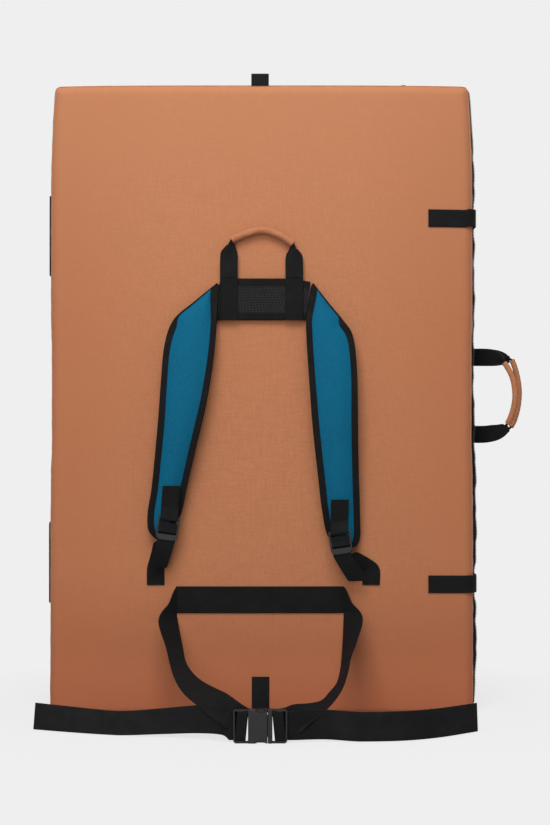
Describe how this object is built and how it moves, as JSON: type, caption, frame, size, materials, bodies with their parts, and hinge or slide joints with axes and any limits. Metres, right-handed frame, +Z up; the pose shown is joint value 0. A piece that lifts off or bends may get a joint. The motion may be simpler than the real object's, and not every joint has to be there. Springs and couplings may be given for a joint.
{
  "type": "bouldering crash pad",
  "caption": "Folding bouldering crash pad standing closed on its lower edge, with padded shoulder straps, buckled waist belt, carry handles, closure straps and zipped foam covers.",
  "frame": {"origin": "middle of the harness half's bottom face, on the floor, midway across the folded pad", "axes": "+Z up along the folded pad's height, +X towards its opening side, +Y from the carrying harness towards the back half"},
  "size_m": [0.6922, 0.4159, 0.9069],
  "materials": {
    "black_plastic": "black moulded plastic",
    "canvas": "heavy brown canvas, slightly faded, darker towards the bottom",
    "firm_foam": "closed-cell foam sheet",
    "foam": "open-cell polyurethane foam",
    "landing_cloth": "dark coated landing cloth",
    "slider_metal": "dark painted slider",
    "spacer_mesh": "black spacer mesh",
    "strap_face": "petrol blue woven fabric",
    "webbing": "black woven polyester webbing"
  },
  "bodies": {
    "harness_half": {"harness_cover": "canvas", "harness_landing_panel": "landing_cloth", "harness_foam_core": "foam", "harness_foam_sheet": "firm_foam", "harness_zip": "webbing", "harness_spine_patch_upper": "webbing", "harness_spine_patch_lower": "webbing", "fold_hinge_strip": "webbing", "top_loop": "webbing", "bottom_strip": "webbing", "closure_anchor_upper": "webbing", "closure_anchor_lower": "webbing", "top_handle_patch_left": "webbing", "top_handle_patch_right": "webbing", "yoke_mesh": "spacer_mesh", "yoke_binding_top": "webbing", "yoke_binding_bottom": "webbing", "adjuster_webbing_left": "webbing", "adjuster_webbing_right": "webbing", "waist_band": "webbing", "waist_webbing_left": "webbing", "waist_webbing_right": "webbing", "waist_buckle_socket": "black_plastic"},
    "back_half": {"back_cover": "canvas", "back_landing_panel": "landing_cloth", "back_foam_core": "foam", "back_foam_sheet": "firm_foam", "back_zip": "webbing", "back_spine_patch_upper": "webbing", "back_spine_patch_lower": "webbing", "back_closure_patch_upper": "webbing", "back_closure_patch_lower": "webbing"},
    "closure_upper": {"closure_strap_upper": "webbing"},
    "closure_lower": {"closure_strap_lower": "webbing"},
    "harness_side_handle": {"harness_side_handle_webbing": "webbing", "harness_side_handle_grip": "canvas"},
    "back_side_handle": {"back_side_handle_webbing": "webbing", "back_side_handle_grip": "canvas"},
    "top_handle": {"top_handle_webbing": "webbing", "top_handle_grip": "canvas"},
    "strap_left": {"strap_left_foam": "foam", "strap_left_face": "strap_face", "strap_left_backing": "spacer_mesh", "strap_left_binding": "webbing", "strap_left_tab": "webbing"},
    "strap_right": {"strap_right_foam": "foam", "strap_right_face": "strap_face", "strap_right_backing": "spacer_mesh", "strap_right_binding": "webbing", "strap_right_tab": "webbing"},
    "lock_left": {"ladder_lock_left": "black_plastic"},
    "lock_right": {"ladder_lock_right": "black_plastic"},
    "buckle_plug": {"waist_buckle_plug": "black_plastic"},
    "prong_upper": {"waist_buckle_prong_upper": "black_plastic"},
    "prong_lower": {"waist_buckle_prong_lower": "black_plastic"},
    "harness_slider": {"harness_zip_slider": "slider_metal"},
    "back_slider": {"back_zip_slider": "slider_metal"}
  },
  "joints": [
    {"name": "main_fold", "type": "hinge", "parent": "harness_half", "child": "back_half", "pos_m": [-0.307, 0.0465, 0], "axis": [0, 0, 1], "range_deg": [0, 180], "deforming": ["fold_hinge_strip"]},
    {"name": "closure_upper_peel", "type": "hinge", "parent": "harness_half", "child": "closure_upper", "pos_m": [0.2625, -0.04242, 0.70203], "axis": [0, 0, -1], "range_deg": [0, 120]},
    {"name": "closure_lower_peel", "type": "hinge", "parent": "harness_half", "child": "closure_lower", "pos_m": [0.2625, -0.04243, 0.18175], "axis": [0, 0, -1], "range_deg": [0, 120]},
    {"name": "top_handle_swing", "type": "hinge", "parent": "harness_half", "child": "top_handle", "pos_m": [0, -0.05253, 0.6171], "axis": [1, 0, 0], "range_deg": [0, 130]},
    {"name": "harness_side_handle_swing", "type": "hinge", "parent": "harness_half", "child": "harness_side_handle", "pos_m": [0.29933, 0.0425, 0.4505], "axis": [0, 0, 1], "range_deg": [-50, 12]},
    {"name": "back_side_handle_swing", "type": "hinge", "parent": "back_half", "child": "back_side_handle", "pos_m": [0.29933, 0.0505, 0.4505], "axis": [0, 0, 1], "range_deg": [-12, 60]},
    {"name": "strap_left_lift", "type": "hinge", "parent": "harness_half", "child": "strap_left", "pos_m": [0, -0.0453, 0.609], "axis": [-1, 0, 0], "range_deg": [0, 20], "deforming": ["adjuster_webbing_left"]},
    {"name": "strap_right_lift", "type": "hinge", "parent": "harness_half", "child": "strap_right", "pos_m": [0, -0.0453, 0.609], "axis": [-1, 0, 0], "range_deg": [0, 20], "deforming": ["adjuster_webbing_right"]},
    {"name": "ladder_lock_left_tilt", "type": "hinge", "parent": "strap_left", "child": "lock_left", "pos_m": [-0.12974, -0.06936, 0.27763], "axis": [-0.9903, 0, 0.1392], "range_deg": [0, 40], "deforming": ["adjuster_webbing_left"]},
    {"name": "ladder_lock_right_tilt", "type": "hinge", "parent": "strap_right", "child": "lock_right", "pos_m": [0.10914, -0.06943, 0.25815], "axis": [-0.9903, 0, -0.1392], "range_deg": [0, 40], "deforming": ["adjuster_webbing_right"]},
    {"name": "waist_buckle_release", "type": "slide", "parent": "harness_half", "child": "buckle_plug", "axis": [1, 0, 0], "range_m": [0, 0.035], "deforming": ["waist_webbing_right", "waist_buckle_prong_upper", "waist_buckle_prong_lower"]},
    {"name": "prong_upper_squeeze", "type": "hinge", "parent": "buckle_plug", "child": "prong_upper", "pos_m": [0.0093, -0.273, 0.0398], "axis": [0, -1, 0], "range_deg": [0, 9], "stiffness_Nm_per_rad": 0.05},
    {"name": "prong_lower_squeeze", "type": "hinge", "parent": "buckle_plug", "child": "prong_lower", "pos_m": [0.0093, -0.273, 0.0048], "axis": [0, 1, 0], "range_deg": [0, 9], "stiffness_Nm_per_rad": 0.05},
    {"name": "harness_zip_slide", "type": "slide", "parent": "harness_half", "child": "harness_slider", "axis": [1, 0, 0], "range_m": [0, 0.075]},
    {"name": "back_zip_slide", "type": "slide", "parent": "back_half", "child": "back_slider", "axis": [1, 0, 0], "range_m": [0, 0.075]}
  ]
}
